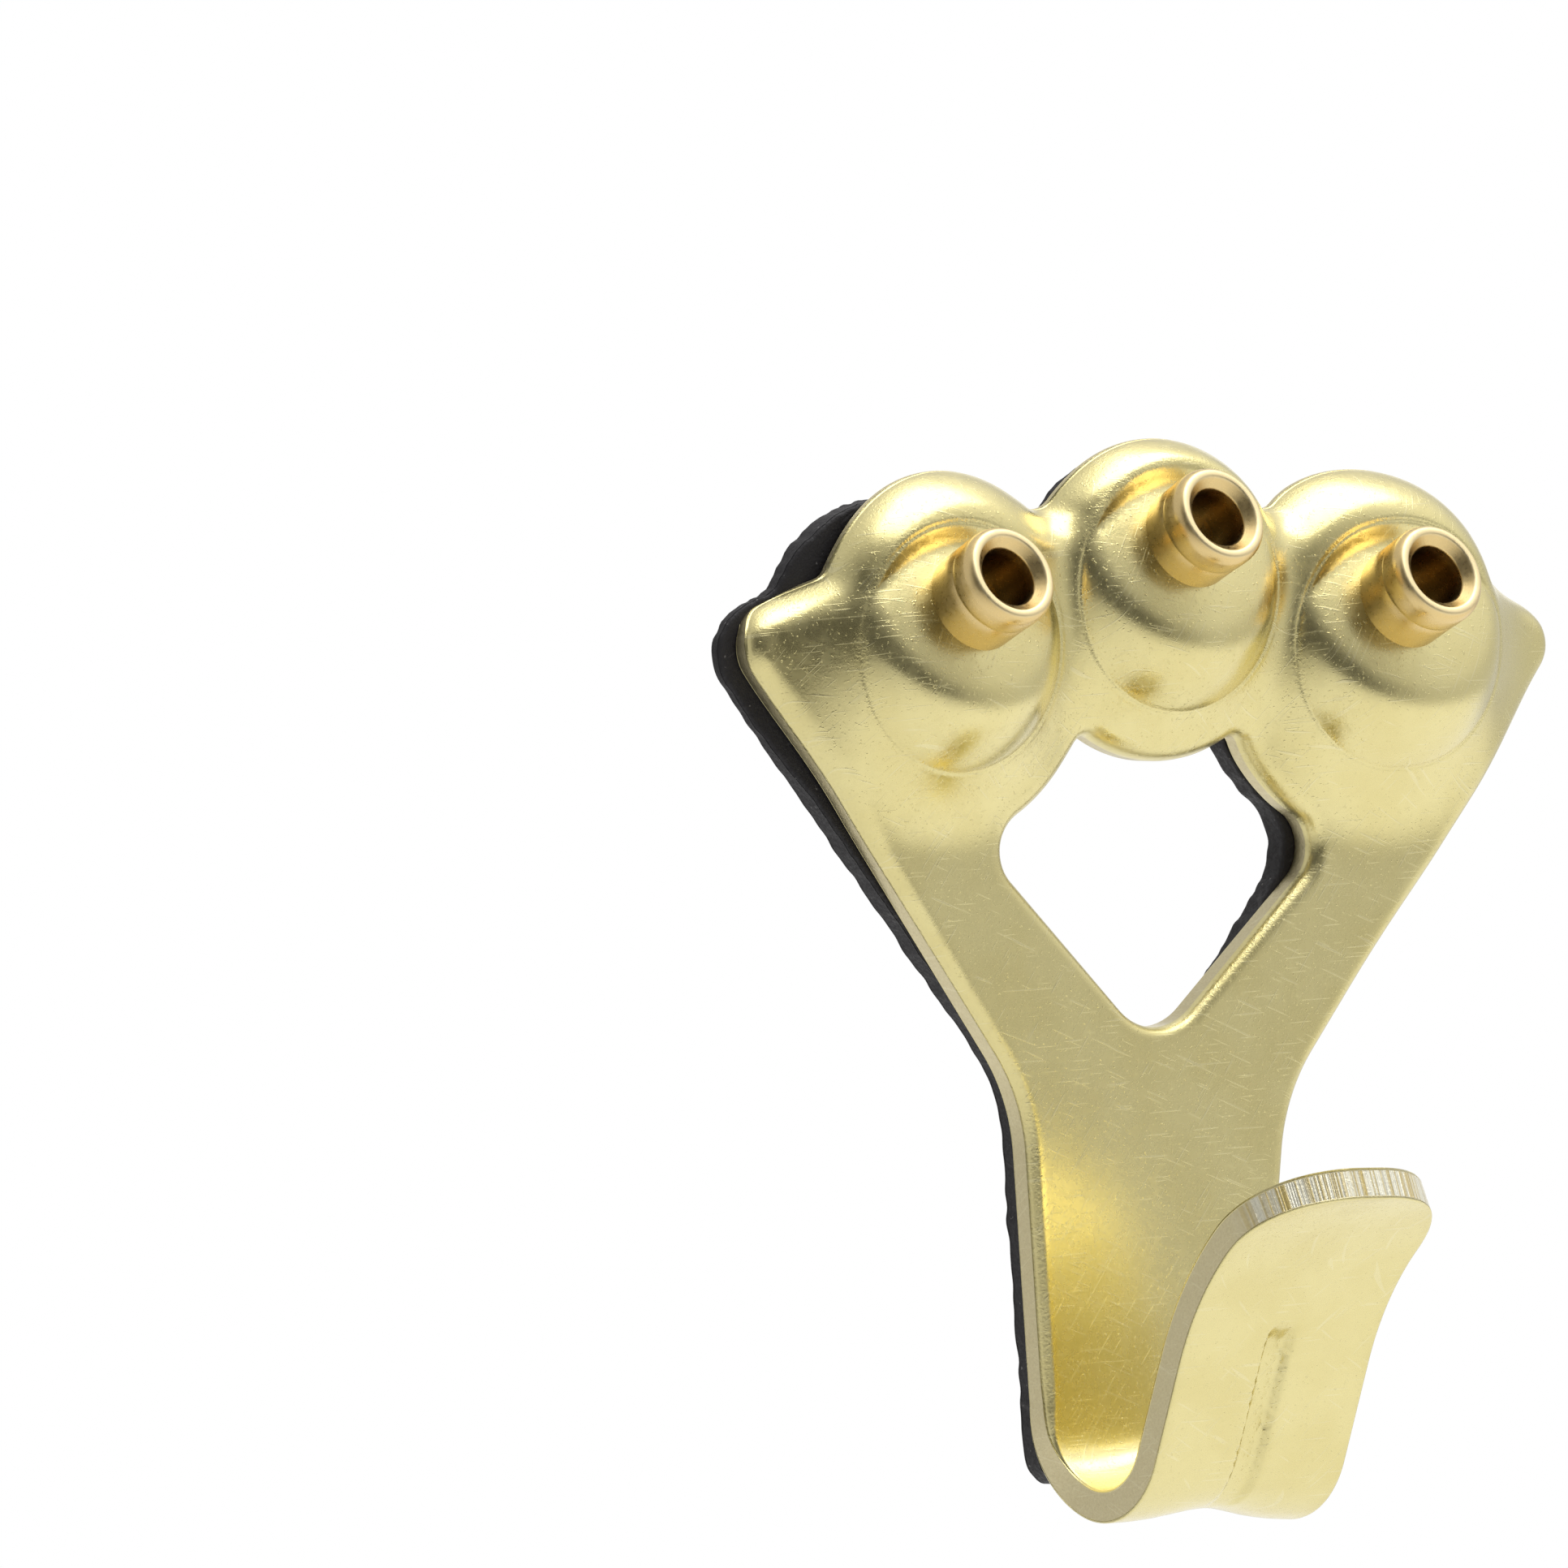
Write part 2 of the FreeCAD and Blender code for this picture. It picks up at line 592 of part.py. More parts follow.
# Bosses, with the hollows that the press leaves behind them and the holes for the nail guides
BOSSES = (
    ("left", "-Sizes.side_boss_reach", "0", "side"),
    ("middle", "0", "Sizes.middle_boss_level", "middle"),
    ("right", "Sizes.side_boss_reach", "0", "side"),
)
GUIDES = (
    ("left", "-Sizes.side_guide_offset", "side"),
    ("middle", "0", "middle"),
    ("right", "Sizes.side_guide_offset", "side"),
)
FACE = "Sizes.pad_thickness + Sizes.plate_thickness"


def ring(name, turn, across, out, up, radius):
    return solid("Circle", name, turn, across, out, up, Radius=radius)


skirts = []
bosses = []
hollows = []
TILTED = Rotation(Vector(1, 0, 0), 90 - size("boss_top_tilt"))
LINE_OUT = FACE + " + Sizes.boss_line_rise"
for side, across, level, family in BOSSES:
    sink = "Sizes.%s_skirt_sink" % family
    skirts.append(solid("Cone", "skirt_" + side, FACE_FRONT, across, FACE + " - " + sink, level,
                        Radius1="Sizes.%s_skirt_radius" % family, Radius2="Sizes.boss_line_radius",
                        Height=sink + " + Sizes.boss_line_rise"))
    boss = doc.addObject("Part::Loft", "boss_" + side)
    boss.Sections = [
        ring("boss_top_" + side, TILTED, across, LINE_OUT + " + Sizes.boss_top_rise",
             level + " + Sizes.boss_top_lift", "Sizes.boss_top_radius"),
        ring("boss_line_" + side, FACE_FRONT, across, LINE_OUT, level, "Sizes.boss_line_radius"),
    ]
    boss.Solid = True
    boss.Ruled = True
    bosses.append(boss)
    hollows.append(solid("Cone", "hollow_" + side, FACE_FRONT, across, "Sizes.pad_thickness", level,
                         Radius1="Sizes.%s_hollow_radius" % family, Radius2="Sizes.hollow_top_radius",
                         Height="Sizes.hollow_rise"))
doc.recompute()


def along_guide(family, length):
    # Reach and level of a point on a nail's axis, a length ahead of the guide's back end
    out = "Sizes.%s_guide_reach + (%s) * cos(Sizes.nail_angle * 1 deg)" % (family, length)
    up = "Sizes.%s_guide_level + (%s) * sin(Sizes.nail_angle * 1 deg)" % (family, length)
    return out, up


def guide_hole(name, across, family, radius, start, length):
    # Round tool along a nail's axis, whose start is counted from the guide's back end
    out, up = along_guide(family, start)
    return solid("Cylinder", name, NAIL_WAY, across, out, up, Radius=radius, Height=length)


SEAT_LENGTH = "Sizes.guide_length + Sizes.plate_thickness"
seats = [guide_hole("seat_" + side, across, family, "Sizes.guide_radius + Sizes.guide_fit",
                    "-Sizes.plate_thickness", SEAT_LENGTH)
         for side, across, family in GUIDES]

plate_rolled = doc.addObject("Part::Fillet", "plate_rolled")
plate_rolled.Base = plate_flat
plate_rolled.Edges = [(n, size("edge_roll"), size("edge_roll"))
                      for n, edge in enumerate(plate_flat.Shape.Edges, start=1) if front_rim(edge)]
plate_solid = join("plate_solid", [plate_rolled, bend_trimmed, ridge] + skirts + bosses)
plate_tools = join("plate_tools", [groove] + hollows + seats)
hook_plate = cut("hook_plate", plate_solid, plate_tools)

# Wall pad with a slanted nail hole behind each guide
WAY_LENGTH = "4 * Sizes.pad_thickness / cos(Sizes.nail_angle * 1 deg)"
WAY_START = "-(Sizes.%s_guide_reach + 2 * Sizes.pad_thickness) / cos(Sizes.nail_angle * 1 deg)"
ways = [guide_hole("way_" + side, across, family, "Sizes.guide_bore_radius + Sizes.pad_hole_clearance",
                   WAY_START % family, WAY_LENGTH)
        for side, across, family in GUIDES]
wall_pad = cut("wall_pad", pad_flat, join("pad_ways", ways))


def nail_guide(name, across, family):
    # Turned guide: a plain body, a slanted rim at the front end, a bore and its sink
    body = doc.addObject("PartDesign::Body", name)
    plane = [f for f in body.Origin.OriginFeatures if f.Role == "XZ_Plane"][0]
    sketch = body.newObject("Sketcher::SketchObject", name + "_profile")
    sketch.AttachmentSupport = [(plane, "")]
    sketch.MapMode = "FlatFace"
    corners = [
        ("Sizes.guide_bore_radius", "0"),
        ("Sizes.guide_radius", "0"),
        ("Sizes.guide_radius", "Sizes.guide_length - Sizes.guide_rim_length"),
        ("Sizes.guide_rim_radius", "Sizes.guide_length"),
        ("Sizes.guide_sink_radius", "Sizes.guide_length"),
        ("Sizes.guide_bore_radius", "Sizes.guide_length - Sizes.guide_sink_depth"),
    ]
    length = size("guide_length")
    places = [
        Vector(size("guide_bore_radius"), 0, 0),
        Vector(size("guide_radius"), 0, 0),
        Vector(size("guide_radius"), length - size("guide_rim_length"), 0),
        Vector(size("guide_rim_radius"), length, 0),
        Vector(size("guide_sink_radius"), length, 0),
        Vector(size("guide_bore_radius"), length - size("guide_sink_depth"), 0),
    ]
    count = len(places)
    for k in range(count):
        sketch.addGeometry(Part.LineSegment(places[k], places[(k + 1) % count]), False)
    for k in range(count):
        sketch.addConstraint(Sketcher.Constraint("Coincident", k, 2, (k + 1) % count, 1))
    for k, (radius_rule, along_rule) in enumerate(corners):
        number = sketch.addConstraint(Sketcher.Constraint("DistanceX", -1, 1, k, 1, places[k].x))
        sketch.setExpression("Constraints[%d]" % number, radius_rule)
        number = sketch.addConstraint(Sketcher.Constraint("DistanceY", -1, 1, k, 1, places[k].y))
        sketch.setExpression("Constraints[%d]" % number, along_rule)
    turned = body.newObject("PartDesign::Revolution", name + "_turned")
    turned.Profile = sketch
    turned.ReferenceAxis = (sketch, ["V_Axis"])
    turned.Angle = 360
    body.Tip = turned
    body.Placement = Placement(Vector(0, 0, 0), NAIL_WAY)
    out, up = along_guide(family, "0")
    return bind(body, Placement__Base__x=across, Placement__Base__y="-(%s)" % out, Placement__Base__z=up)


guides = [nail_guide("guide_sleeve_" + side, across, family) for side, across, family in GUIDES]
doc.recompute()

PARTS = [hook_plate, wall_pad] + guides
for item in doc.Objects:
    faults = [state for state in item.State if state in ("Invalid", "Error")]
    if faults:
        raise RuntimeError("%s is %s" % (item.Name, faults))
for item in PARTS:
    if item.Shape.isNull() or not item.Shape.isValid() or len(item.Shape.Solids) != 1:
        raise RuntimeError("%s has no good solid" % item.Name)
    item.Label = item.Name

os.makedirs("parts", exist_ok=True)
for item in PARTS:
    item.Shape.exportStep("parts/%s.step" % item.Label)
    print(item.Label, "volume", round(item.Shape.Volume, 2))
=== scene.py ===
import math

import bpy
import numpy as np
from mathutils import Matrix, Vector
from mathutils.geometry import delaunay_2d_cdt


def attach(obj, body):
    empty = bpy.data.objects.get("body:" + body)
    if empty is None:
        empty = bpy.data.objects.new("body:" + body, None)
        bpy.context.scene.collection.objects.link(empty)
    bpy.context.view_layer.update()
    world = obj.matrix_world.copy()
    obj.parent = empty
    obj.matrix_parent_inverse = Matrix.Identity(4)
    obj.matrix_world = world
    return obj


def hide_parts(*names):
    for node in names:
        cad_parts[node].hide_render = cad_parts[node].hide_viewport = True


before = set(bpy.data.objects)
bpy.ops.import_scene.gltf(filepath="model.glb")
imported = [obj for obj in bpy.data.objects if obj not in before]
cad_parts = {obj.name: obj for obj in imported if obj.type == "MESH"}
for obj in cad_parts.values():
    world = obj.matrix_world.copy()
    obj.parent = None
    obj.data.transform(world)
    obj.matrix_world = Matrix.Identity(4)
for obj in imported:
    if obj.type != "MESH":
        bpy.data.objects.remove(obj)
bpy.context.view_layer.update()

MM = 0.001

# Sizes of the hook in millimetres, in the same frame as the solids
SHEET = 1.25
PAD = 1.0
BOSSES = ((-10.2, 0.0), (0.0, 2.16), (10.2, 0.0))
BOSS_RING = 4.6
THROAT = 2.2
BEND_LEVEL = -28.9
LIP_LEAN = math.radians(21.0)
LIP_LENGTH = 4.0
FLARE = 11.0
FLARE_LEAN = math.radians(67.5)
BEND_MIDDLE = THROAT + SHEET / 2
FLARE_MIDDLE = FLARE + SHEET / 2
BEND_START = -BEND_LEVEL
BEND_END = BEND_START + (math.pi - LIP_LEAN) * BEND_MIDDLE
FLARE_START = BEND_END + LIP_LENGTH
SHEET_END = FLARE_START + (FLARE_LEAN - LIP_LEAN) * FLARE_MIDDLE
HOOK_HALF = 4.45
TIP_ROUNDING = 4.0
NAIL_ANGLE = math.radians(25.0)
GUIDES = {
    "guide_sleeve_left": (-10.08, 2.27, 0.91),
    "guide_sleeve_middle": (0.0, 1.96, 3.06),
    "guide_sleeve_right": (10.08, 2.27, 0.91),
}


# Flat geometry

def smooth(x):
    x = np.clip(x, 0.0, 1.0)
    return x * x * (3.0 - 2.0 * x)


def on_circle(centre, radius, degrees):
    a = math.radians(degrees)
    return np.array([centre[0] + radius * math.cos(a), centre[1] + radius * math.sin(a)])


def towards(start, end, length):
    step = end - start
    return start + step * (length / np.hypot(*step))


def circles_meet(one, one_radius, two, two_radius, upper):
    gap = two - one
    length = np.hypot(*gap)
    along = (one_radius ** 2 - two_radius ** 2 + length ** 2) / (2 * length)
    aside = math.sqrt(one_radius ** 2 - along ** 2)
    axis = gap / length
    square = np.array([-axis[1], axis[0]])
    ends = sorted((one + axis * along + square * aside, one + axis * along - square * aside),
                  key=lambda p: p[1])
    return ends[1] if upper else ends[0]


def line_meets_circle(point, way, centre, radius):
    gap = centre - point
    along = gap @ way
    return point + way * (along + math.sqrt(radius ** 2 - gap @ gap + along ** 2))


def lines_meet(one, one_way, two, two_way):
    gap = two - one
    cross = one_way[0] * two_way[1] - one_way[1] * two_way[0]
    return one + one_way * ((gap[0] * two_way[1] - gap[1] * two_way[0]) / cross)


def left_of(way):
    return np.array([-way[1], way[0]])


def arc_points(centre, start, end, clockwise, step):
    a, b = (math.atan2(p[1] - centre[1], p[0] - centre[0]) for p in (start, end))
    if clockwise and b > a:
        b -= 2 * math.pi
    if not clockwise and b < a:
        b += 2 * math.pi
    radius = np.hypot(*(start - centre))
    count = max(3, int(math.ceil(abs(b - a) * radius / step)))
    turn = np.linspace(a, b, count + 1)[:-1]
    return np.stack([centre[0] + radius * np.cos(turn), centre[1] + radius * np.sin(turn)], 1)


def line_points(start, end, step):
    count = max(1, int(math.ceil(np.hypot(*(end - start)) / step)))
    return start + np.linspace(0, 1, count + 1)[:-1, None] * (end - start)


def mirrored(points):
    return (points * [-1.0, 1.0])[::-1]


def head_points(own, foot, step):
    # Right half of a blank's outline from the top of the middle lobe down to the foot of the stem
    middle = np.array([0.0, own["middle_level"]])
    side = np.array([own["side_reach"], own["side_level"]])
    ear = np.array([own["ear_reach"], own["ear_level"]])
    notch, ear_notch, corner = own["lobe_notch"], own["ear_notch"], own["vee_corner"]
    top_way = on_circle((0, 0), 1, -24.0)
    vee_way = on_circle((0, 0), -1, own["vee_angle"])
    stem_way = on_circle((0, 0), -1, own["stem_angle"])
    top_out, vee_out, stem_out = left_of(top_way), -left_of(-vee_way), -left_of(-stem_way)
    a = circles_meet(middle, own["middle"] + notch, side, own["side"] + notch, True)
    b = line_meets_circle(ear + top_out * (own["ear"] + ear_notch), top_way,
                          side, own["side"] + ear_notch)
    c = lines_meet(ear + vee_out * (own["ear"] + corner), vee_way, foot + stem_out * corner, stem_way)
    joints = [middle + [0.0, own["middle"]], towards(middle, a, own["middle"]), towards(side, a, own["side"]),
              towards(side, b, own["side"]), b - top_out * ear_notch, ear + top_out * own["ear"],
              ear + vee_out * own["ear"], c - vee_out * corner, c - stem_out * corner, foot]
    return np.concatenate([
        arc_points(middle, joints[0], joints[1], True, step),
        arc_points(a, joints[1], joints[2], False, step),
        arc_points(side, joints[2], joints[3], True, step),
        arc_points(b, joints[3], joints[4], False, step),
        line_points(joints[4], joints[5], step),
        arc_points(ear, joints[5], joints[6], True, step),
        line_points(joints[6], joints[7], step),
        arc_points(c, joints[7], joints[8], False, step),
        line_points(joints[8], joints[9], step),
    ])


def window_points(point_drop, slant, corner_radius, top_radius, step):
    # Window: a vee whose upper sides run round the three bosses
    top, side = np.array([0.0, 2.16]), np.array([10.2, 0.0])
    side_radius, head_radius, point_radius = 7.25, 0.5, 2.5
    way = on_circle((0, 0), 1, slant)
    inward = left_of(way)
    head = circles_meet(top, top_radius + head_radius, side, side_radius + head_radius, False)
    low = np.array([0.0, -point_drop]) + inward * corner_radius
    gap = side - low
    along = gap @ way
    aside = np.hypot(*(gap - way * along))
    corner = low + way * (along - math.sqrt((side_radius + corner_radius) ** 2 - aside ** 2))
    point = np.array([0.0, -point_drop + point_radius / way[0]])
    joints = [top + [0.0, -top_radius], towards(top, head, top_radius), towards(side, head, side_radius),
              towards(side, corner, side_radius), corner - inward * corner_radius,
              point - inward * point_radius, point + [0.0, -point_radius]]
    right = np.concatenate([
        arc_points(top, joints[0], joints[1], False, step),
        arc_points(head, joints[1], joints[2], True, step),
        arc_points(side, joints[2], joints[3], False, step),
        arc_points(corner, joints[3], joints[4], True, step),
        line_points(joints[4], joints[5], step),
        arc_points(point, joints[5], joints[6], True, step),
    ])
    return np.concatenate([right, mirrored(right[1:]), ])


def closed_by_mirror(right, bottom):
    return np.concatenate([right, [bottom], mirrored(right[1:])])


def plate_outline(step):
    own = {"middle": 6.0, "middle_level": 1.64, "side": 5.97, "side_reach": 9.6, "side_level": 0.5,
           "ear": 1.63, "ear_reach": 16.93, "ear_level": 0.03, "lobe_notch": 0.9, "ear_notch": 0.6,
           "vee_corner": 7.0, "vee_angle": 52.5, "stem_angle": 85.0}
    head = head_points(own, np.array([5.16, -28.0]), step)
    run = np.arange(28.0, SHEET_END - TIP_ROUNDING, step)
    half = 5.16 + (HOOK_HALF - 5.16) * smooth((run - 28.0) / 4.6)
    edge = np.stack([half, -run], 1)
    centre = np.array([HOOK_HALF - TIP_ROUNDING, TIP_ROUNDING - SHEET_END])
    corner = arc_points(centre, centre + [TIP_ROUNDING, 0.0], centre - [0.0, TIP_ROUNDING], True, step)
    right = np.concatenate([head, edge, corner])
    return closed_by_mirror(right, [0.0, -SHEET_END])


def pad_outline(step):
    own = {"middle": 5.2, "middle_level": 1.9, "side": 5.47, "side_reach": 11.74, "side_level": -0.06,
           "ear": 1.85, "ear_reach": 17.45, "ear_level": -0.25, "lobe_notch": 1.5, "ear_notch": 1.0,
           "vee_corner": 5.0, "vee_angle": 48.9, "stem_angle": 84.7}
    rounding = 1.2
    centre = np.array([4.4 - rounding, -31.0 + rounding])
    out = -left_of(on_circle((0, 0), 1, own["stem_angle"]))
    foot = centre + out * rounding
    right = np.concatenate([
        head_points(own, foot, step),
        arc_points(centre, foot, centre - [0.0, rounding], True, step),
        line_points(centre - [0.0, rounding], np.array([0.0, -31.0]), step),
    ])
    return closed_by_mirror(right, [0.0, -31.0])


def inside(points, loops):
    result = np.zeros(len(points), bool)
    for loop in loops:
        ahead = np.roll(loop, -1, axis=0)
        for k in range(0, len(points), 4000):
            p = points[k:k + 4000]
            x, y = p[:, :1], p[:, 1:]
            spans = (loop[:, 1] > y) != (ahead[:, 1] > y)
            rise = ahead[:, 1] - loop[:, 1]
            rise = np.where(rise == 0, 1e-12, rise)
            cross = loop[:, 0] + (y - loop[:, 1]) * (ahead[:, 0] - loop[:, 0]) / rise
            result[k:k + 4000] ^= ((spans & (x < cross)).sum(1) % 2).astype(bool)
    return result


def edge_distance(points, loops):
    # Distance of each point to the nearest edge of the blank
    best = np.full(len(points), 1e9)
    for loop in loops:
        step = np.roll(loop, -1, axis=0) - loop
        square = (step ** 2).sum(1)
        for k in range(0, len(points), 2000):
            gap = points[k:k + 2000, None] - loop
            share = np.clip((gap * step).sum(2) / square, 0, 1)
            away = gap - share[..., None] * step
            near = np.sqrt((away ** 2).sum(2).min(1))
            best[k:k + 2000] = np.minimum(best[k:k + 2000], near)
    return best


ROWS = (0.025, 0.075, 0.15, 0.25, 0.38, 0.54, 0.74, 0.98)


RING_ROWS = BOSS_RING + np.array([-0.24, -0.16, -0.08, -0.02, 0.04, 0.1, 0.18, 0.26])
GROOVE_ROWS = np.array([(u, -s) for u in (-0.75, -0.62, -0.5, -0.38, 0.38, 0.5, 0.62, 0.75)
                        for s in np.arange(34.0, 44.0, 0.22)])


def circle_points(x, z, r):
    turn = np.linspace(0, 2 * math.pi, 150, endpoint=False)
    return np.stack([x + r * np.cos(turn), z + r * np.sin(turn)], 1)


def blank(loops, step, fine_step, is_fine):
    # Triangles of a flat blank: rows of points along its edges, and a grid inside them
    points = [np.concatenate(loops)]
    edges, first = [], 0
    for loop in loops:
        count = len(loop)
        edges += [(first + k, first + (k + 1) % count) for k in range(count)]
        first += count
    for loop in loops:
        ahead, behind = np.roll(loop, -1, axis=0), np.roll(loop, 1, axis=0)
        way = ahead - behind
        way /= np.hypot(way[:, 0], way[:, 1])[:, None]
        across = np.stack([-way[:, 1], way[:, 0]], 1)
        test = inside(loop + across * 0.01, loops)
        across[~test] *= -1
        for row in ROWS:
            points.append(loop + across * row)
    fringe = np.concatenate(points[1:])
    low, high = loops[0].min(0), loops[0].max(0)
    grids = []
    for size, keep_fine in ((step, False), (fine_step, True)):
        x = np.arange(low[0], high[0], size)
        y = np.arange(low[1], high[1], size)
        grid = np.stack(np.meshgrid(x, y), 2).reshape(-1, 2)
        grid[:, 0] += np.where(np.round((grid[:, 1] - low[1]) / size) % 2 > 0, size / 2, 0)
        grids.append(grid[is_fine(grid) == keep_fine])
    rings = np.concatenate([circle_points(x, z, r) for x, z in BOSSES for r in RING_ROWS])
    grid = np.concatenate(grids)
    near = np.min([np.abs(np.hypot(grid[:, 0] - x, grid[:, 1] - z) - BOSS_RING) for x, z in BOSSES], axis=0)
    grid = np.concatenate([grid[near > 0.3], rings, GROOVE_ROWS])
    grid = grid[inside(grid, loops)]
    grid = grid[edge_distance(grid, loops) > ROWS[-1] + 0.12]
    keep = inside(fringe, loops)
    rows = np.concatenate([np.repeat(np.array(ROWS)[:, None], len(loop), 1).ravel() for loop in loops])
    keep &= edge_distance(fringe, loops) > rows - 0.006
    flat = np.concatenate([points[0], fringe[keep], grid])
    made = delaunay_2d_cdt([Vector(p) for p in flat], edges, [], 0, 1e-7, True)
    verts = np.array([(p[0], p[1]) for p in made[0]])
    tris = np.array([f for f in made[2] if len(f) == 3])
    middle = verts[tris].mean(1)
    tris = tris[inside(middle, loops)]
    area = np.cross(verts[tris[:, 1]] - verts[tris[:, 0]], verts[tris[:, 2]] - verts[tris[:, 0]])
    tris[area < 0] = tris[area < 0][:, ::-1]
    where = {}
    for k, ids in enumerate(made[3]):
        for old in ids:
            where[old] = k
    rings, first = [], 0
    for loop in loops:
        rings.append([where[first + k] for k in range(len(loop))])
        first += len(loop)
    return verts, tris, rings, edge_distance(verts, loops)


# Shape of the pressed sheet

# Radius of the ball that a boss is a piece of, and how high its middle lies under the ring
BOSS_BALL = 6.1
BOSS_FOOT = math.sqrt(BOSS_BALL ** 2 - BOSS_RING ** 2)

def softer_min(a, b, soft):
    gap = np.clip(0.5 + 0.5 * (b - a) / soft, 0, 1)
    return b + (a - b) * gap - soft * gap * (1 - gap)


# Height of the ring round a boss over the flat sheet
RING_RISE = 1.1


def boss_height(x, z):
    # Front of a boss inside its ring: a piece of a ball, cut by a top face that leans back
    r = np.hypot(x, z)
    flank = np.sqrt(BOSS_BALL ** 2 - np.minimum(r, BOSS_RING) ** 2) - BOSS_FOOT
    from_guide = np.hypot(x, z - 1.2)
    top = 1.3 - 0.36 * z - 0.035 * from_guide ** 2
    height = softer_min(flank, top, 0.35)
    return RING_RISE + np.maximum(height, -0.3 * smooth((BOSS_RING - r) / 0.9))


def lift(x, z, d):
    # How far the sheet is pressed forward of its flat level
    flat = np.ones(len(x))
    inner = np.zeros(len(x), bool)
    nearest = np.full(len(x), 99.0)
    height = np.zeros(len(x))
    for across, level in BOSSES:
        r = np.hypot(x - across, z - level)
        out = np.clip((r - BOSS_RING) / 3.4, 0, 1)
        above = smooth(((z - level) / np.maximum(r, 1e-6) - 0.2) / 0.6)
        flat *= above * smooth(out) + (1 - above) * (1 - (1 - out) ** 2)
        nearest = np.minimum(nearest, r)
        hit = r < BOSS_RING
        inner |= hit
        height[hit] = boss_height(x[hit] - across, z[hit] - level)
    rise = RING_RISE * (1 - flat)
    rise = np.where(inner, height, rise)
    for across, level in BOSSES:
        r = np.hypot(x - across, z - level)
        rise -= 0.05 * np.exp(-((r - BOSS_RING - 0.02) / 0.08) ** 2)
    lobes = smooth((z - 0.5) / 1.5)
    rise -= lobes * 0.45 * np.clip(1 - d / 1.6, 0, 1) ** 2 * smooth((nearest - BOSS_RING) / 0.8)
    rise -= 0.5 * smooth((np.abs(x) - 14.4) / 3.8)
    return rise


def path(s):
    # Middle of the sheet along its length, and the direction of its front face there
    out, up = np.full(len(s), PAD + SHEET / 2), -s.copy()
    way_out, way_up = np.ones(len(s)), np.zeros(len(s))
    centre = np.array([PAD + SHEET + THROAT, BEND_LEVEL])
    turn = np.clip((s - BEND_START) / BEND_MIDDLE, 0, math.pi - LIP_LEAN)
    bend = s > BEND_START
    c, n = np.cos(turn), np.sin(turn)
    out[bend] = (centre[0] - BEND_MIDDLE * c)[bend]
    up[bend] = (centre[1] - BEND_MIDDLE * n)[bend]
    way_out[bend], way_up[bend] = c[bend], n[bend]
    straight = np.clip(s - BEND_END, 0, LIP_LENGTH)
    out += straight * math.sin(LIP_LEAN)
    up += straight * math.cos(LIP_LEAN)
    lean = LIP_LEAN + np.maximum(s - FLARE_START, 0) / FLARE_MIDDLE
    flare = s > FLARE_START
    out[flare] += (FLARE_MIDDLE * (math.cos(LIP_LEAN) - np.cos(lean)))[flare]
    up[flare] += (FLARE_MIDDLE * (np.sin(lean) - math.sin(LIP_LEAN)))[flare]
    way_out[flare], way_up[flare] = -np.cos(lean)[flare], np.sin(lean)[flare]
    return out, up, way_out, way_up


def sheet_place(u, s, t):
    out, up, way_out, way_up = path(s)
    aside = t - SHEET / 2
    return np.stack([u, -(out + way_out * aside), up + way_up * aside], 1)


def roll(d, radius):
    gap = np.clip(radius - d, 0, None)
    return radius - np.sqrt(np.maximum(radius ** 2 - gap ** 2, 0))


def make_object(name, places, faces, attributes):
    mesh = bpy.data.meshes.new(name)
    mesh.from_pydata((places * MM).tolist(), [], [list(map(int, f)) for f in faces])
    for key, values in attributes.items():
        layer = mesh.attributes.new(key, "FLOAT", "POINT")
        layer.data.foreach_set("value", np.asarray(values, np.float32))
    mesh.update()
    mesh.validate()
    mesh.polygons.foreach_set("use_smooth", [True] * len(mesh.polygons))
    obj = bpy.data.objects.new(name, mesh)
    bpy.context.scene.collection.objects.link(obj)
    return obj


def sheet_object(name, flat, front, back, wall_rows):
    # Front and back skins of a blank and the wall round its edges
    # The functions front and back turn places on the blank into places in 3-D
    verts, tris, rings, d = flat
    count = len(verts)
    top, bottom = front(verts, d), back(verts, d)
    places = [top, bottom]
    faces = [tuple(f) for f in tris] + [tuple(f[::-1] + count) for f in tris]
    cut = [np.zeros(count), np.zeros(count)]
    rim = [d, d]
    first = 2 * count
    for ring in rings:
        ring = np.array(ring)
        size = len(ring)
        levels = [ring]
        for share in wall_rows:
            places.append(top[ring] * (1 - share) + bottom[ring] * share)
            cut.append(np.ones(size))
            rim.append(np.zeros(size))
            levels.append(np.arange(first, first + size))
            first += size
        levels.append(ring + count)
        for upper, lower in zip(levels[:-1], levels[1:]):
            for k in range(size):
                j = (k + 1) % size
                faces.append((upper[j], upper[k], lower[k], lower[j]))
    flat_places = [verts, verts]
    for ring in rings:
        flat_places += [verts[ring]] * len(wall_rows)
    flat_places = np.concatenate(flat_places)
    near = np.min([np.hypot(flat_places[:, 0] - x, flat_places[:, 1] - z) for x, z in BOSSES], axis=0)
    face = np.concatenate([np.zeros(count), np.ones(count), np.full(first - 2 * count, 0.5)])
    attributes = {"cut": np.concatenate(cut), "rim": np.concatenate(rim), "across": flat_places[:, 0],
                  "along": -flat_places[:, 1], "boss": near, "face": face}
    return make_object(name, np.concatenate(places), faces, attributes)


STEP = 0.16
plate_loops = [plate_outline(STEP), window_points(15.05, 43.3, 1.5, 6.45, STEP)]


def fine_on_bosses(points):
    near = np.zeros(len(points), bool)
    for across, level in BOSSES:
        near |= np.hypot(points[:, 0] - across, points[:, 1] - level) < 6.4
    return near | (points[:, 1] < -29)


plate_flat = blank(plate_loops, 0.34, 0.24, fine_on_bosses)


def plate_bump(u, s, d):
    return np.where(s < 20, lift(u, -s, d), 0.0)


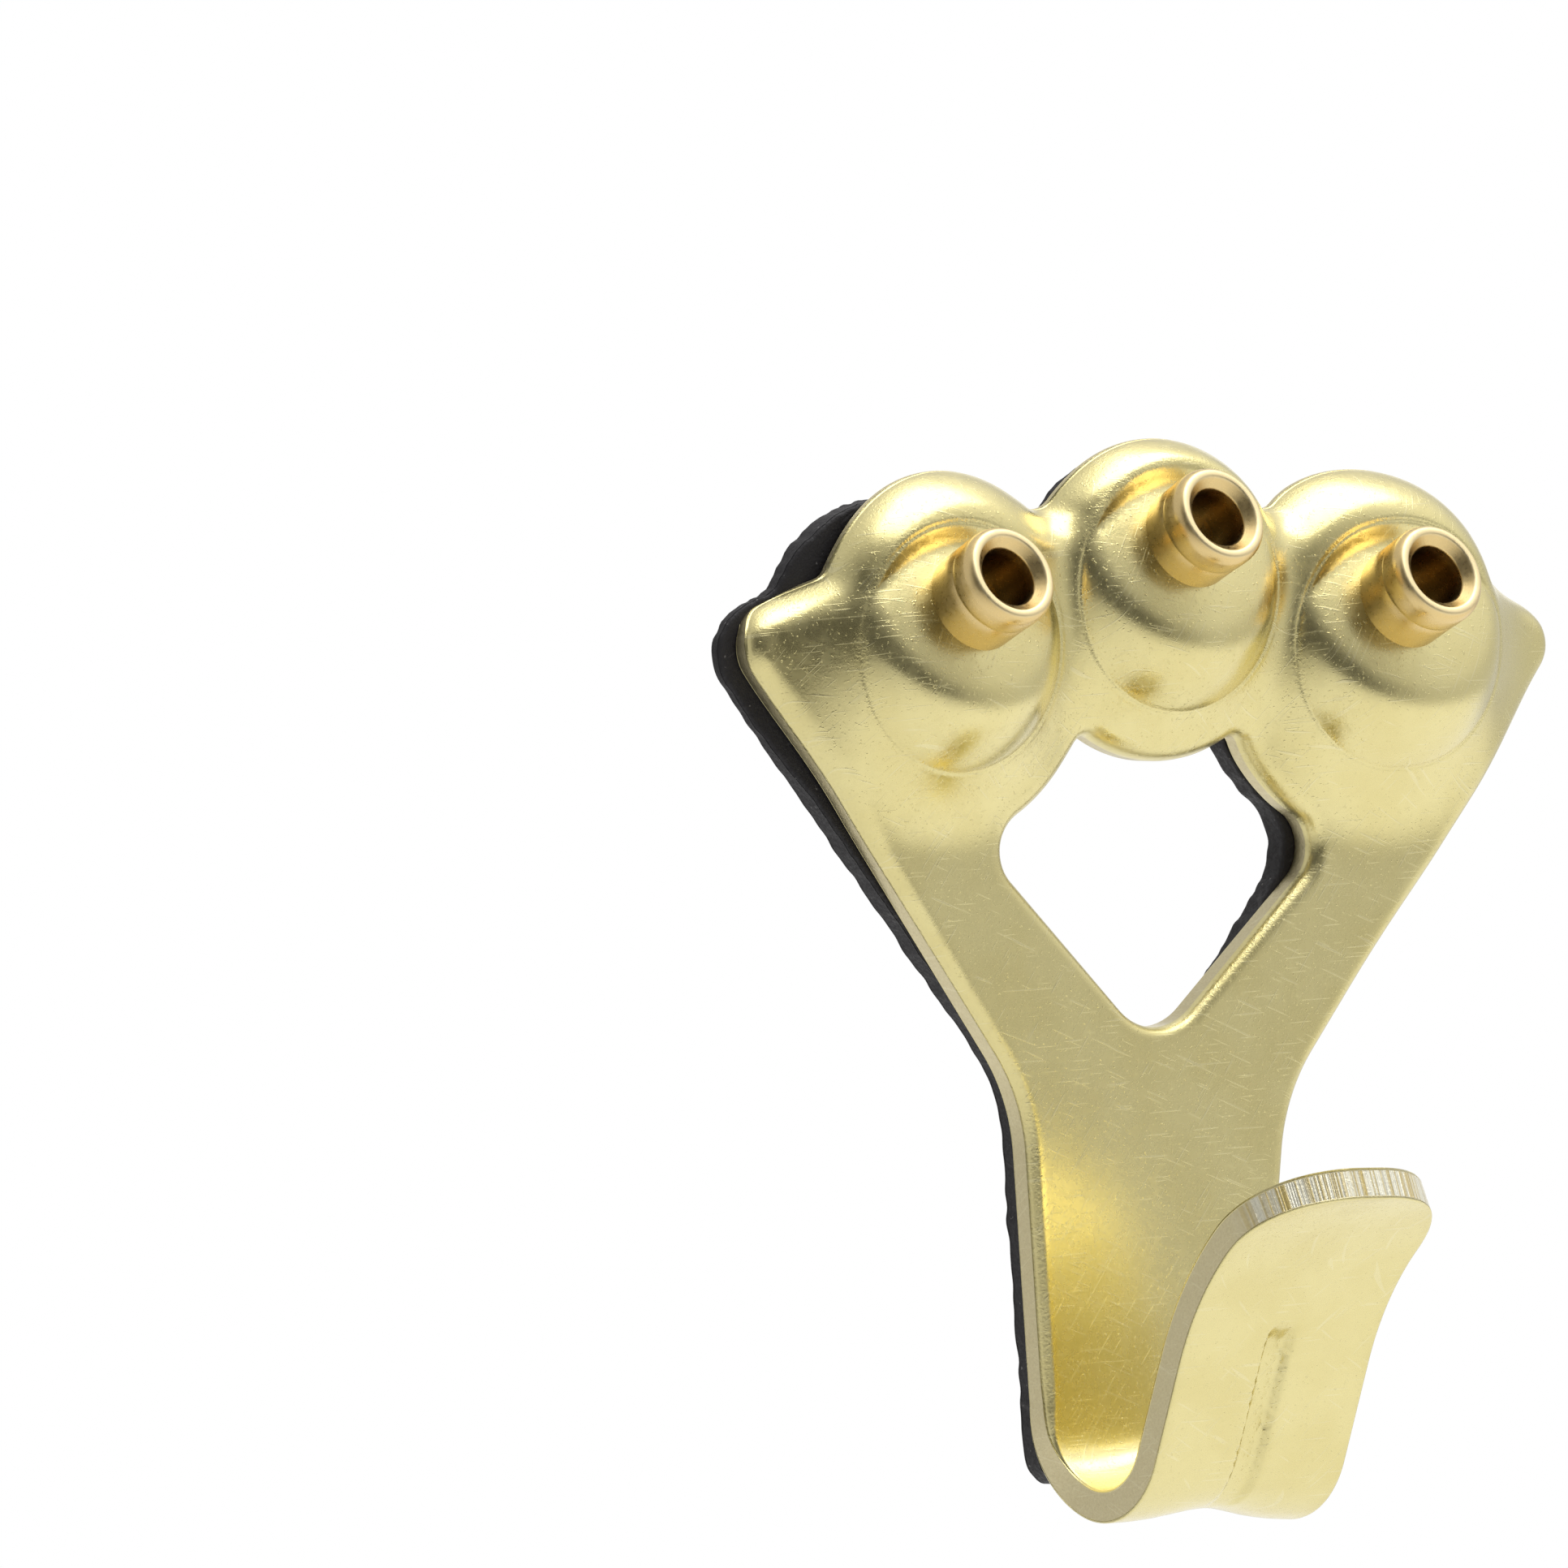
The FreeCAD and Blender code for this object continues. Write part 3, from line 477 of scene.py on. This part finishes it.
def bottom_channel(u, s):
    run = (s - BEND_START) / BEND_MIDDLE
    near = np.exp(-((run - math.radians(80)) / 0.9) ** 2)
    return 0.55 * np.exp(-(u / 2.3) ** 2) * near


def groove(u, s):
    ends = smooth((s - 34.0) / 3.0) * smooth((42.6 - s) / 1.2)
    return 0.42 * ends * (1 - smooth((np.abs(u) - 0.4) / 0.3))


def front_roll(s):
    # The die rounds the front edges of the head and stem; on the hook they are nearly sharp
    return 0.62 - 0.17 * smooth((s - 3.0) / 12.0) - 0.35 * smooth((s - 27.0) / 4.0)


def widened(u, s):
    # The right side of the head stands a little further out than the left side
    return u + 0.42 * smooth((u - 8.0) / 5.0) * smooth((14.0 - s) / 8.0)


def plate_front(verts, d):
    u, s = verts[:, 0], -verts[:, 1]
    t = SHEET - roll(d, front_roll(s)) + plate_bump(u, s, d) + bottom_channel(u, s)
    t -= 0.38 * smooth((0.5 - s) / 2.5) * np.clip(1 - d / 1.8, 0, 1) ** 2
    return sheet_place(widened(u, s), s, t)


def plate_back(verts, d):
    u, s = verts[:, 0], -verts[:, 1]
    t = roll(d, 0.06) + plate_bump(u, s, d) + bottom_channel(u, s) + groove(u, s)
    return sheet_place(widened(u, s), s, t)


plate = sheet_object("stamped_plate", plate_flat, plate_front, plate_back, (0.05, 0.35, 0.65, 0.95))

pad_loops = [pad_outline(0.16), window_points(17.3, 53.0, 2.2, 5.7, 0.16)]
pad_flat = blank(pad_loops, 0.5, 0.4, fine_on_bosses)


RAGGED = np.random.default_rng(7)
WAVES = RAGGED.normal(0, 1, (14, 2)) * 5.0
PHASES = RAGGED.uniform(0, 2 * math.pi, (14, 2))


def pad_place(verts, d, depth):
    # The pad is stuck a little to the left, with an edge that was cut raggedly
    u, s = verts[:, 0], -verts[:, 1]
    near = 0.009 * (1 - smooth(d / 0.5))
    turn = (verts @ WAVES.T)[:, :, None] + PHASES + depth[:, None, None] * 1.3
    shake = np.sin(turn).sum(1) * near[:, None]
    across = u - 0.75 * smooth((u - 9.0) / 7.0) + shake[:, 0]
    across -= 0.25 * smooth((s - 14.0) / 4.0) * smooth((1.0 - u) / 2.0)
    return np.stack([across, -depth, -s + shake[:, 1]], 1)


def pad_front(verts, d):
    u = verts[:, 0]
    dip = -0.5 * smooth((np.abs(u) - 14.4) / 3.8)
    t = PAD + dip - roll(d, 0.12)
    return pad_place(verts, d, t)


def pad_back(verts, d):
    return pad_place(verts, d, roll(d, 0.1))


pad = sheet_object("wall_pad_rubber", pad_flat, pad_front, pad_back, (0.1, 0.35, 0.65, 0.9))

# Nail guides: turned sleeves, lathed round the nail's axis
# Profile as distance along the axis and radius, from the bore's back end round to the bore again
SLEEVE = [
    (0.0, 1.14), (0.0, 1.50), (0.0, 1.86), (0.05, 1.91), (1.2, 1.92), (2.8, 1.93), (3.18, 1.935),
    (3.22, 1.925), (3.27, 1.925), (3.31, 1.94), (3.40, 1.95), (3.92, 1.955), (4.02, 1.945),
    (4.12, 1.92), (4.24, 1.87), (4.34, 1.80), (4.385, 1.75), (4.40, 1.69), (4.40, 1.56),
    (4.385, 1.51), (4.35, 1.475), (4.2, 1.335), (4.07, 1.2), (4.03, 1.16), (3.95, 1.14),
    (3.4, 1.14), (2.6, 1.14), (1.7, 1.14), (0.8, 1.14),
]
AROUND = 128


def sleeve_object(name, place):
    profile = np.array(SLEEVE)
    turn = np.linspace(0, 2 * math.pi, AROUND, endpoint=False)
    axis = np.array([0.0, -math.cos(NAIL_ANGLE), math.sin(NAIL_ANGLE)])
    side = np.array([1.0, 0.0, 0.0])
    up = np.cross(side, axis)
    ring = np.cos(turn)[:, None] * side + np.sin(turn)[:, None] * up
    base = np.array([place[0], -place[1], place[2]])
    places = np.concatenate([base + along * axis + radius * ring for along, radius in profile])
    count = len(profile)
    faces = []
    for k in range(count):
        j = (k + 1) % count
        for m in range(AROUND):
            n = (m + 1) % AROUND
            faces.append((k * AROUND + m, k * AROUND + n, j * AROUND + n, j * AROUND + m))
    along = np.repeat(profile[:, 0], AROUND)
    radius = np.repeat(profile[:, 1], AROUND)
    return make_object(name, places, faces, {"along": along, "radius": radius})


sleeves = {name: sleeve_object(name + "_turned", place) for name, place in GUIDES.items()}

# Materials

def new_material(name):
    material = bpy.data.materials.new(name)
    material.use_nodes = True
    tree = material.node_tree
    return material, tree, tree.nodes["Principled BSDF"]


class Tree:
    # Short forms for building a material's nodes

    def __init__(self, name):
        self.material, self.tree, self.shader = new_material(name)

    def node(self, kind, **settings):
        node = self.tree.nodes.new("ShaderNode" + kind)
        for key, value in settings.items():
            setattr(node, key, value)
        return node

    def feed(self, socket, value):
        if isinstance(value, (int, float, tuple)):
            socket.default_value = value
        else:
            self.tree.links.new(value, socket)

    def math(self, kind, a, b=0.0, clamp=False):
        node = self.node("Math", operation=kind, use_clamp=clamp)
        self.feed(node.inputs[0], a)
        self.feed(node.inputs[1], b)
        return node.outputs[0]

    def ramp(self, value, low, high, start=0.0, end=1.0):
        node = self.node("MapRange", interpolation_type="SMOOTHSTEP")
        self.feed(node.inputs["Value"], value)
        node.inputs["From Min"].default_value = low
        node.inputs["From Max"].default_value = high
        node.inputs["To Min"].default_value = start
        node.inputs["To Max"].default_value = end
        return node.outputs["Result"]

    def attribute(self, name):
        return self.node("Attribute", attribute_name=name).outputs["Fac"]

    def millimetres(self, scale=(1, 1, 1), turn=(0, 0, 0)):
        # Object coordinates in millimetres, turned and then scaled
        mapping = self.node("Mapping", vector_type="TEXTURE")
        mapping.inputs["Rotation"].default_value = turn
        mapping.inputs["Scale"].default_value = tuple(MM / k for k in scale)
        self.tree.links.new(self.node("TexCoord").outputs["Object"], mapping.inputs["Vector"])
        return mapping.outputs["Vector"]

    def sheet_place(self, across, along):
        # Coordinates in the flat sheet, in millimetres
        node = self.node("CombineXYZ")
        self.feed(node.inputs[0], self.math("MULTIPLY", self.attribute("across"), across))
        self.feed(node.inputs[1], self.math("MULTIPLY", self.attribute("along"), along))
        self.feed(node.inputs[2], self.math("MULTIPLY", self.attribute("face"), 7.0))
        return node.outputs[0]

    def noise(self, vector, scale=1.0, detail=2.0, rough=0.5):
        node = self.node("TexNoise")
        self.feed(node.inputs["Vector"], vector)
        node.inputs["Scale"].default_value = scale
        node.inputs["Detail"].default_value = detail
        node.inputs["Roughness"].default_value = rough
        return node.outputs["Fac"]

    def blend(self, share, a, b):
        node = self.node("Mix", data_type="RGBA")
        self.feed(node.inputs[0], share)
        self.feed(node.inputs[6], a)
        self.feed(node.inputs[7], b)
        return node.outputs[2]

    def bump(self, height, distance, under=None, strength=1.0):
        node = self.node("Bump")
        node.inputs["Distance"].default_value = distance
        self.feed(node.inputs["Strength"], strength)
        self.feed(node.inputs["Height"], height)
        if under is not None:
            self.feed(node.inputs["Normal"], under)
        return node.outputs["Normal"]

    def set(self, **values):
        for key, value in values.items():
            self.feed(self.shader.inputs[key.replace("_", " ")], value)


def scratches(made, turn, seed, fine):
    # Short hair lines that all run one way
    vector = made.millimetres((fine, 0.55, 0.55), (0.0, turn, seed))
    return made.ramp(made.noise(vector, 1.0, 0.0), 0.73, 0.8)


def brass_material():
    made = Tree("plated_brass")
    cut = made.attribute("cut")
    rim = made.attribute("rim")
    boss = made.attribute("boss")
    grain = made.noise(made.millimetres(), 9.0, 3.0, 0.6)
    coarse = made.noise(made.millimetres(), 2.2, 2.0, 0.6)
    cloud = made.noise(made.millimetres(), 0.35, 2.0, 0.5)
    streak = made.noise(made.sheet_place(0.25, 9.0), 1.0, 2.0, 0.5)
    edge = made.ramp(rim, 0.55, 0.05)
    ring = made.math("MULTIPLY", made.ramp(boss, 4.42, 4.58), made.ramp(boss, 4.95, 4.7))
    lines = made.math("ADD", scratches(made, 0.6, 0.3, 17.0), scratches(made, -0.9, 1.1, 14.0), clamp=True)
    lines = made.math("ADD", lines, scratches(made, 1.7, 2.0, 15.0), clamp=True)
    cut_tone = made.blend(grain, (0.58, 0.49, 0.27, 1), (0.80, 0.72, 0.45, 1))
    tone = made.blend(made.ramp(cloud, 0.35, 0.65), (0.76, 0.665, 0.30, 1), (0.80, 0.71, 0.34, 1))
    tone = made.blend(made.math("MULTIPLY", streak, 0.35), tone, (0.81, 0.70, 0.34, 1))
    tip = made.math("MULTIPLY", cut, made.ramp(made.attribute("along"), SHEET_END - 3.4, SHEET_END - 1.6))
    # Shear noise on the cut face at the lip's tip: real torn-metal streaks, with pale, nearly white patches
    # that are painted glints of light from above
    shear = made.noise(made.sheet_place(9.0, 1.2), 1.0, 2.0, 0.6)
    torn_and_glints = made.blend(made.ramp(shear, 0.35, 0.6), (0.66, 0.52, 0.20, 1), (0.93, 0.90, 0.74, 1))
    cut_tone = made.blend(tip, cut_tone, torn_and_glints)
    colour = made.blend(cut, tone, cut_tone)
    colour = made.blend(made.math("MULTIPLY", lines, 0.2), colour, (0.93, 0.88, 0.62, 1))
    rough = made.ramp(coarse, 0.3, 0.7, 0.23, 0.3)
    rough = made.math("ADD", rough, made.math("MULTIPLY", edge, 0.06))
    rough = made.math("ADD", rough, made.math("MULTIPLY", cut, 0.12))
    waves = made.bump(made.noise(made.millimetres(), 0.45, 1.0), 0.000012)
    grains = made.math("MULTIPLY", grain, made.math("ADD", made.math("MULTIPLY", edge, 2.0),
                                                   made.math("ADD", 0.6, made.math("MULTIPLY", ring, 3.0))))
    specks = made.ramp(made.noise(made.millimetres(), 8.0, 1.0), 0.64, 0.74)
    grains = made.bump(made.math("ADD", grains, specks), 0.000006, waves)
    marked = made.bump(lines, 0.0000025, grains)
    marked = made.bump(made.math("MULTIPLY", shear, tip), 0.00012, marked)
    made.set(Base_Color=colour, Metallic=1.0, Roughness=rough, Normal=marked,
             Coat_Weight=0.45, Coat_Roughness=0.15)
    return made.material


def sleeve_material():
    made = Tree("turned_brass")
    turning = made.noise(made.millimetres(), 6.0, 3.0, 0.6)
    # Deep inside the bore the colour turns nearly black brown: painted shade in the hollow
    painted_bore_shade = made.math("MULTIPLY", made.ramp(made.attribute("radius"), 1.2, 1.12),
                     made.ramp(made.attribute("along"), 4.1, 3.4))
    colour = made.blend(turning, (0.76, 0.56, 0.24, 1), (0.84, 0.65, 0.32, 1))
    colour = made.blend(painted_bore_shade, colour, (0.13, 0.06, 0.015, 1))
    rim = made.ramp(made.attribute("along"), 4.3, 4.4)
    colour = made.blend(made.math("MULTIPLY", rim, 0.85), colour, (0.88, 0.74, 0.44, 1))
    rough = made.math("ADD", made.ramp(turning, 0.3, 0.7, 0.26, 0.36), made.math("MULTIPLY", rim, 0.12))
    rings = made.node("CombineXYZ")
    made.feed(rings.inputs[0], made.math("MULTIPLY", made.attribute("along"), 14.0))
    made.feed(rings.inputs[1], made.math("MULTIPLY", made.attribute("radius"), 14.0))
    lathe = made.bump(made.noise(rings.outputs[0], 1.0, 1.0), 0.0000016)
    normal = made.bump(turning, 0.0000025, lathe)
    made.set(Base_Color=colour, Metallic=1.0, Roughness=rough, Normal=normal)
    return made.material


def rubber_material():
    made = Tree("black_rubber")
    grain = made.noise(made.millimetres(), 7.0, 4.0, 0.65)
    dust = made.ramp(made.noise(made.millimetres(), 5.0, 1.0), 0.72, 0.8)
    lines = scratches(made, 0.9, 0.7, 5.0)
    colour = made.blend(grain, (0.006, 0.005, 0.006, 1), (0.02, 0.017, 0.019, 1))
    colour = made.blend(made.math("MULTIPLY", dust, 0.5), colour, (0.30, 0.29, 0.28, 1))
    colour = made.blend(made.math("MULTIPLY", lines, 0.12), colour, (0.25, 0.24, 0.24, 1))
    normal = made.bump(grain, 0.00003)
    made.set(Base_Color=colour, Roughness=made.ramp(grain, 0.3, 0.7, 0.5, 0.75), Normal=normal)
    return made.material


plate.data.materials.append(brass_material())
pad.data.materials.append(rubber_material())
turned = sleeve_material()
for obj in sleeves.values():
    obj.data.materials.append(turned)

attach(plate, "root")
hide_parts("hook_plate")
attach(pad, "root")
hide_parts("wall_pad")
for name, obj in sleeves.items():
    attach(obj, "root")
    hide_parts(name)

# Floor, world and lamps
floor_mesh = bpy.data.meshes.new("floor")
reach = 0.4
floor_mesh.from_pydata([(-reach, -reach, -0.06), (reach, -reach, -0.06), (reach, reach, -0.06),
                        (-reach, reach, -0.06)], [], [(0, 1, 2, 3)])
floor = bpy.data.objects.new("floor", floor_mesh)
bpy.context.scene.collection.objects.link(floor)
material, tree, shader = new_material("pale_floor")
shader.inputs["Base Color"].default_value = (0.55, 0.55, 0.545, 1)
shader.inputs["Roughness"].default_value = 0.9
# For camera, glossy and transmission rays the floor also glows: a painted pool of light, brightest at a spot
# beside the hook and gone 0.3 m from it, that the brass shows as reflected light
rays = tree.nodes.new("ShaderNodeLightPath")
seen = tree.nodes.new("ShaderNodeMath")
seen.operation = "MAXIMUM"
tree.links.new(rays.outputs["Is Camera Ray"], seen.inputs[0])
tree.links.new(rays.outputs["Is Glossy Ray"], seen.inputs[1])
also = tree.nodes.new("ShaderNodeMath")
also.operation = "MAXIMUM"
tree.links.new(seen.outputs[0], also.inputs[0])
tree.links.new(rays.outputs["Is Transmission Ray"], also.inputs[1])
strength = tree.nodes.new("ShaderNodeMath")
strength.operation = "MULTIPLY"
tree.links.new(also.outputs[0], strength.inputs[0])
spot = tree.nodes.new("ShaderNodeTexCoord")
moved = tree.nodes.new("ShaderNodeVectorMath")
moved.operation = "SUBTRACT"
moved.inputs[1].default_value = (0.08, -0.02, 0.0)
tree.links.new(spot.outputs["Object"], moved.inputs[0])
reach = tree.nodes.new("ShaderNodeVectorMath")
reach.operation = "LENGTH"
tree.links.new(moved.outputs[0], reach.inputs[0])
painted_light_pool = tree.nodes.new("ShaderNodeMapRange")
painted_light_pool.interpolation_type = "SMOOTHSTEP"
painted_light_pool.inputs["From Min"].default_value = 0.07
painted_light_pool.inputs["From Max"].default_value = 0.3
painted_light_pool.inputs["To Min"].default_value = 0.4
painted_light_pool.inputs["To Max"].default_value = 0.0
tree.links.new(reach.outputs["Value"], painted_light_pool.inputs["Value"])
tree.links.new(painted_light_pool.outputs["Result"], strength.inputs[1])
shader.inputs["Emission Color"].default_value = (1, 1, 1, 1)
tree.links.new(strength.outputs[0], shader.inputs["Emission Strength"])
floor.data.materials.append(material)


def direction(azimuth, elevation):
    a, e = math.radians(azimuth), math.radians(elevation)
    return (math.sin(a) * math.cos(e), -math.cos(a) * math.cos(e), math.sin(e))


world = bpy.data.worlds.new("studio")
bpy.context.scene.world = world
world.use_nodes = True
tree = world.node_tree
way = tree.nodes.new("ShaderNodeTexCoord")


def lobe(centre, outer, inner, low, high):
    # Level that changes from low to high between two angles from a direction
    dot = tree.nodes.new("ShaderNodeVectorMath")
    dot.operation = "DOT_PRODUCT"
    dot.inputs[1].default_value = direction(*centre)
    tree.links.new(way.outputs["Generated"], dot.inputs[0])
    level = tree.nodes.new("ShaderNodeMapRange")
    level.interpolation_type = "SMOOTHSTEP"
    level.inputs["From Min"].default_value = math.cos(math.radians(outer))
    level.inputs["From Max"].default_value = math.cos(math.radians(inner))
    level.inputs["To Min"].default_value = low
    level.inputs["To Max"].default_value = high
    tree.links.new(dot.outputs["Value"], level.inputs["Value"])
    return level.outputs["Result"]


def combine(kind, a, b):
    node = tree.nodes.new("ShaderNodeMath")
    node.operation = kind
    tree.links.new(a, node.inputs[0])
    tree.links.new(b, node.inputs[1])
    return node.outputs[0]


room = lobe((-30, 10), 76, 34, 0.64, 0.10)
overhead = lobe((48, 66), 66, 22, 0.0, 0.45)
paper = lobe((147, 0), 27, 14, 0.0, 0.5)
level = combine("ADD", combine("ADD", room, overhead), paper)
back = tree.nodes["Background"]
back.inputs["Color"].default_value = (1.0, 1.0, 1.0, 1)
tree.links.new(level, back.inputs["Strength"])
white = tree.nodes.new("ShaderNodeBackground")
white.inputs["Color"].default_value = (1, 1, 1, 1)
rays = tree.nodes.new("ShaderNodeLightPath")
mix = tree.nodes.new("ShaderNodeMixShader")
tree.links.new(rays.outputs["Is Camera Ray"], mix.inputs["Fac"])
tree.links.new(back.outputs["Background"], mix.inputs[1])
tree.links.new(white.outputs["Background"], mix.inputs[2])
tree.links.new(mix.outputs["Shader"], tree.nodes["World Output"].inputs["Surface"])


def soft_box(name, where, distance, size, radiance):
    # A square lamp that faces the hook and shows as a white box in the metal
    lamp = bpy.data.lights.new(name, "AREA")
    lamp.shape = "SQUARE"
    lamp.size = size
    lamp.energy = radiance * math.pi * size * size
    obj = bpy.data.objects.new(name, lamp)
    place = Vector(direction(*where)) * distance
    obj.location = place
    obj.rotation_euler = (-place).to_track_quat("-Z", "Y").to_euler()
    bpy.context.scene.collection.objects.link(obj)


soft_box("upper_box", (40, 72), 0.6, 0.58, 2.2)

# Camera at the photograph's angle
camera_data = bpy.data.cameras.new("camera")
camera_data.sensor_width = 36.0
camera_data.lens = 36.0 * 52141.0 / 1932.0
camera_data.clip_start = 0.01
camera_data.clip_end = 50.0
camera = bpy.data.objects.new("camera", camera_data)
right = Vector((0.79032, -0.61267, 0.00227))
up = Vector((0.00709, 0.01284, 0.99989))
back_way = Vector((-0.61268, -0.79016, 0.01449))
turned_frame = Matrix((right, up, back_way)).transposed().to_4x4()
turned_frame.translation = (right * -12.505 + up * -5.12 + back_way * 1566.0) * MM
camera.matrix_world = turned_frame
bpy.context.scene.collection.objects.link(camera)
bpy.context.scene.camera = camera

scene = bpy.context.scene
scene.view_settings.view_transform = "Standard"
